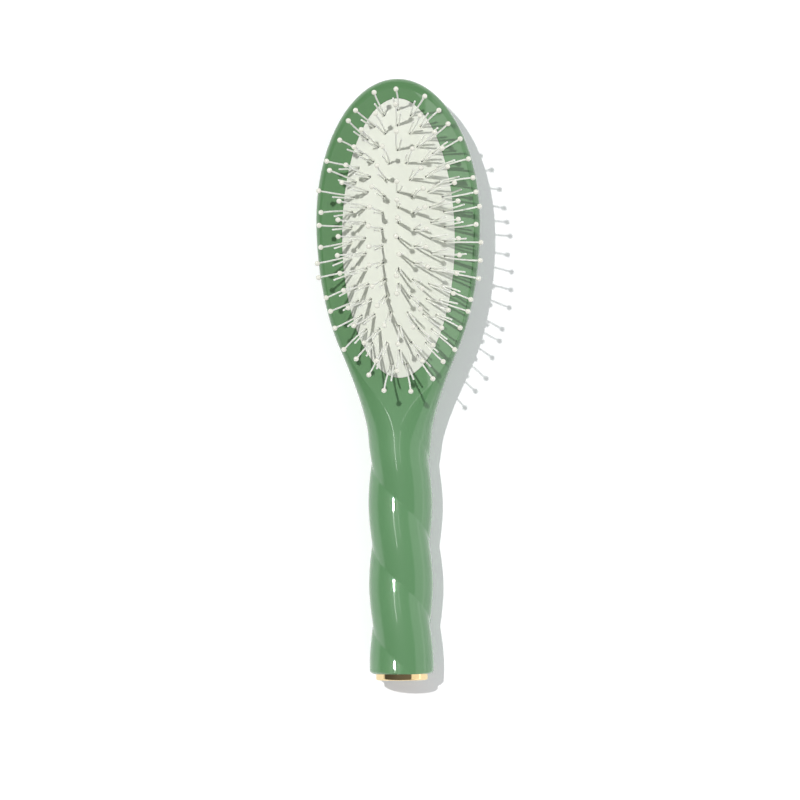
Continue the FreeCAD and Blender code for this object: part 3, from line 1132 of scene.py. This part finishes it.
@dataclass
class TuftRow:
    """One row or ring of tufts, which sinks as one when the cushion is pressed."""

    body: Body
    count: int
    width_share: float
    length_share: float
    lean_across: float
    lean_along: float
    droop: float
    sway: float
    seed: int
    ring_steps: int = 2880

    def places(self, cushion: Cushion) -> list[tuple[float, float]]:
        """Places of the tufts, evenly spaced along the row or round the oval ring.

        Args:
            cushion: the cushion that they stand on.

        Returns:
            Distances across and along from the cushion's middle.
        """
        across = self.width_share * cushion.half_width
        along = self.length_share * cushion.half_length
        if not self.width_share:
            return [(0.0, y) for y in steps(along, -along, self.count - 1)]
        turns = steps(0, math.tau, self.ring_steps)
        fine = [(across * math.sin(turn), along * math.cos(turn)) for turn in turns]
        lengths = [0.0, *itertools.accumulate(math.dist(a, b) for a, b in zip(fine, fine[1:]))]
        marks = steps(0, lengths[-1], self.count)[:-1]
        return [fine[bisect.bisect_left(lengths, mark)] for mark in marks]

    def tufts(self, cushion: Cushion, sizes: TuftSizes) -> list[Tuft]:
        """Stands the row's tufts, which fan outwards, droop towards the grip and sway a little each.

        Args:
            cushion: the cushion that they stand on.
            sizes: the tufts' sizes.

        Returns:
            The tufts.
        """
        rng = random.Random(self.seed)
        made = []
        for across, along in self.places(cushion):
            lean = Vector((self.lean_across * across, self.lean_along * along + self.droop, 0))
            lean += Vector((rng.uniform(-1, 1), rng.uniform(-1, 1), 0)) * self.sway
            lean *= min(1.0, sizes.longest_lean / max(lean.length, sizes.upright_lean))
            made.append(Tuft(sizes, cushion.spot(across, along), lean, rng))
        return made

    def build(self, tufts: Sequence[Tuft]) -> None:
        """Models the row's filaments and its balls.

        Args:
            tufts: the row's tufts.
        """
        row = self.body.value
        filaments, balls = bmesh.new(), bmesh.new()
        for tuft in tufts:
            tuft.add_filament(filaments)
            tuft.add_ball(balls)
        pins = finish_piece(filaments, f"{row}_pins", ROUND_ANGLE)
        seat(pins, self.body, Slot.NYLON, CreamNylon(), f"{row}_filaments")
        tips = finish_piece(balls, f"{row}_balls", ROUND_ANGLE)
        seat(tips, self.body, Slot.BALL, CreamBall(), f"{row}_ball_tips")


ROWS = [
    TuftRow(
        Body.CENTRE_ROW, count=7, width_share=0.0, length_share=0.329,
        lean_across=0.0, lean_along=0.2, droop=0.0, sway=0.6, seed=11,
    ),
    TuftRow(
        Body.INNER_RING, count=22, width_share=0.290, length_share=0.629,
        lean_across=0.76, lean_along=0.19, droop=0.0, sway=0.6, seed=12,
    ),
    TuftRow(
        Body.MIDDLE_RING, count=32, width_share=0.594, length_share=0.805,
        lean_across=0.80, lean_along=0.17, droop=0.0, sway=0.6, seed=13,
    ),
    TuftRow(
        Body.OUTER_RING, count=39, width_share=0.836, length_share=0.916,
        lean_across=0.71, lean_along=0.16, droop=-0.9, sway=1.5, seed=3619,
    ),
]


@dataclass(frozen=True)
class Sheen:
    """A flat light over the brush that shows in polished surfaces only; its sizes are in metres."""

    name: str
    across: tuple[float, float]
    along: tuple[float, float]
    height: float
    radiance: float

    def build(self) -> None:
        """Hangs the light."""
        data = bpy.data.lights.new(self.name, "AREA")
        data.shape = "RECTANGLE"
        data.size, data.size_y = (high - low for low, high in (self.across, self.along))
        data.energy = math.pi * data.size * data.size_y * self.radiance
        light = bpy.data.objects.new(self.name, data)
        light.location = (sum(self.across) / 2, sum(self.along) / 2, self.height)
        light.visible_camera = False
        light.visible_diffuse = False
        show(light)


STRIP = Sheen("strip", across=(-0.154, -0.136), along=(-0.105, 0.45), height=0.5, radiance=9.0)
PANEL = Sheen("panel", across=(0.0121, 0.045), along=(-0.02, 0.15), height=0.7, radiance=2.0)


@dataclass(frozen=True)
class Surroundings:
    """Soft fill, and the room that polished surfaces see: a dim ceiling, a pale skirting and a soft box."""

    overhead_fill: float = 0.22
    level_fill: float = 0.6
    right_fill: float = 0.3
    fill_colour: Colour = (0.98, 0.99, 1.05, 1.0)
    ceiling_glow: float = 0.15
    ceiling_gain: float = 0.06
    skirting_top: float = 0.14
    skirting_full: float = 0.11
    skirting_glow: float = 0.75
    box_rise: float = 1.07
    box_edge: float = 0.02
    box_breadth: float = 1.3
    box_flank: float = 0.1
    box_glow: float = 0.93

    def build(self) -> None:
        """Makes the world: white to the camera, the room in reflections and the fill for the rest."""
        world = bpy.data.worlds.new("studio")
        bpy.context.scene.world = world
        sheet = NodeSheet(world)
        direction = sheet.signal(sheet.node("ShaderNodeTexCoord"), "Generated")
        right, along, up = sheet.axes(direction)
        even = self.overhead_fill + self.level_fill * (1 - up) + self.right_fill * right
        fill = self._glow(sheet, self.fill_colour, even)
        room = self._glow(sheet, WHITE, self._room(sheet, right, along, up))
        path = sheet.node("ShaderNodeLightPath")
        lit = sheet.choose(sheet.signal(path, "Is Glossy Ray"), fill, room)
        seen = sheet.choose(sheet.signal(path, "Is Camera Ray"), lit, self._glow(sheet, WHITE, 1.0))
        sheet.surface(seen, "ShaderNodeOutputWorld")

    @staticmethod
    def _glow(sheet: NodeSheet, colour: Colour, strength: Value) -> bpy.types.Node:
        """One background of a colour and a strength."""
        return sheet.node("ShaderNodeBackground", None, {"Color": colour, "Strength": strength})

    def _room(self, sheet: NodeSheet, right: Signal, along: Signal, up: Signal) -> Signal:
        """Brightness of the room by direction, with the soft box on the right.

        Args:
            sheet: the world's sheet.
            right, along, up: the direction's parts along X, Y and Z.

        Returns:
            The brightness.
        """
        ceiling = self.ceiling_glow + self.ceiling_gain * right
        skirting = sheet.ease(up, self.skirting_top, self.skirting_full) * self.skirting_glow
        below_top = sheet.ease(self.box_rise * right - up, -self.box_edge, self.box_edge)
        within_far = sheet.ease(self.box_breadth * right - along, 0.0, self.box_flank)
        within_near = sheet.ease(self.box_breadth * right + along, 0.0, self.box_flank)
        return ceiling + skirting + below_top * within_far * within_near * self.box_glow


@dataclass(frozen=True)
class Studio:
    """White table, lights and the camera that looks straight down."""

    view_width: float = 299.3
    camera_distance: float = 4500.0
    aim_x: float = 0.1
    aim_y: float = -7.6
    aim_z: float = 15.0
    roll: float = -0.00806
    sensor: float = 36.0
    table_half: float = 4000.0
    key_slope_x: float = 0.28
    key_slope_y: float = 0.255
    key_strength: float = 2.1
    key_angle: float = math.radians(1.2)

    def build(self) -> None:
        """Builds the whole studio."""
        bpy.context.scene.view_settings.view_transform = "Standard"
        self._camera()
        self._table()
        self._key()
        for sheen in (STRIP, PANEL):
            sheen.build()
        Surroundings().build()

    def _camera(self) -> None:
        """Camera straight above the brush."""
        data = bpy.data.cameras.new("camera")
        data.sensor_width = self.sensor
        data.lens = self.sensor * self.camera_distance / self.view_width
        camera = bpy.data.objects.new("camera", data)
        camera.location = Vector((self.aim_x, self.aim_y, self.aim_z + self.camera_distance)) * MM
        camera.rotation_euler = (0, 0, self.roll)
        show(camera)
        bpy.context.scene.camera = camera

    def _table(self) -> None:
        """Table top under the brush."""
        mesh = bmesh.new()
        bmesh.ops.create_grid(mesh, x_segments=1, y_segments=1, size=self.table_half * MM)
        data = bpy.data.meshes.new("table")
        mesh.to_mesh(data)
        mesh.free()
        table = bpy.data.objects.new("table", data)
        WhiteTable().dress(table)
        show(table)

    def _key(self) -> None:
        """Small distant key light from the upper left."""
        data = bpy.data.lights.new("key", "SUN")
        data.energy = self.key_strength
        data.angle = self.key_angle
        key = bpy.data.objects.new("key", data)
        travel = Vector((self.key_slope_x, -self.key_slope_y, -1))
        key.rotation_euler = travel.to_track_quat("-Z", "Y").to_euler()
        show(key)


def main() -> None:
    """Builds the studio and the brush, piece by piece."""
    logging.basicConfig(level=logging.INFO, format="%(name)s: %(message)s")
    Studio().build()
    cushion = Cushion()
    BrushBody().build(cushion)
    EndCap().build()
    every_tuft = []
    for row in ROWS:
        tufts = row.tufts(cushion, TuftSizes())
        row.build(tufts)
        every_tuft += tufts
    cushion.build(every_tuft)


if __name__ == "__main__":
    main()
